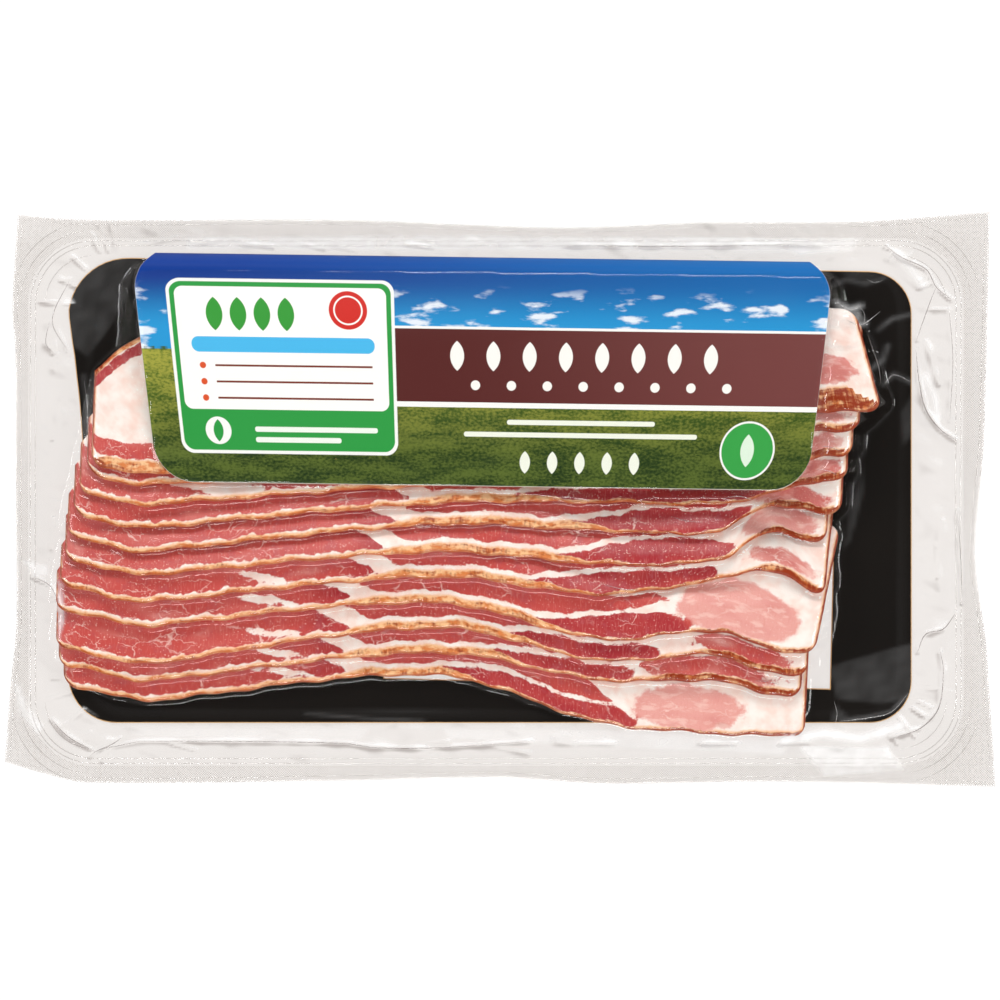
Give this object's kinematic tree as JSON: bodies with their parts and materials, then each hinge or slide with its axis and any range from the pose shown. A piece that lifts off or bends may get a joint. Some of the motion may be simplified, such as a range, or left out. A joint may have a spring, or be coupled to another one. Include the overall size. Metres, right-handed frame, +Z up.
{
  "type": "bacon pack",
  "caption": "Clear vacuum-sealed pack of shingled bacon slices on a black card board, with a printed label flap folded over the slices.",
  "frame": {"origin": "middle of the pack's outline in plan, at the height of the flat base that lies on the table", "axes": "+X along the slices, to the right when the label is read, +Y across them towards the label's fold, +Z up out of the shown side"},
  "size_m": [0.3062, 0.1776, 0.0214],
  "materials": {
    "clear_film": "clear laminated film, glossy, knurled where it is sealed",
    "board_card": "black coated card, satin",
    "label_card": "printed coated card, glossy under the film",
    "bacon": "smoked pork belly, moist, with marbled lean, white fat and a browned rim"
  },
  "bodies": {
    "root": {"sealed_pack": "clear_film"}
  },
  "joints": []
}
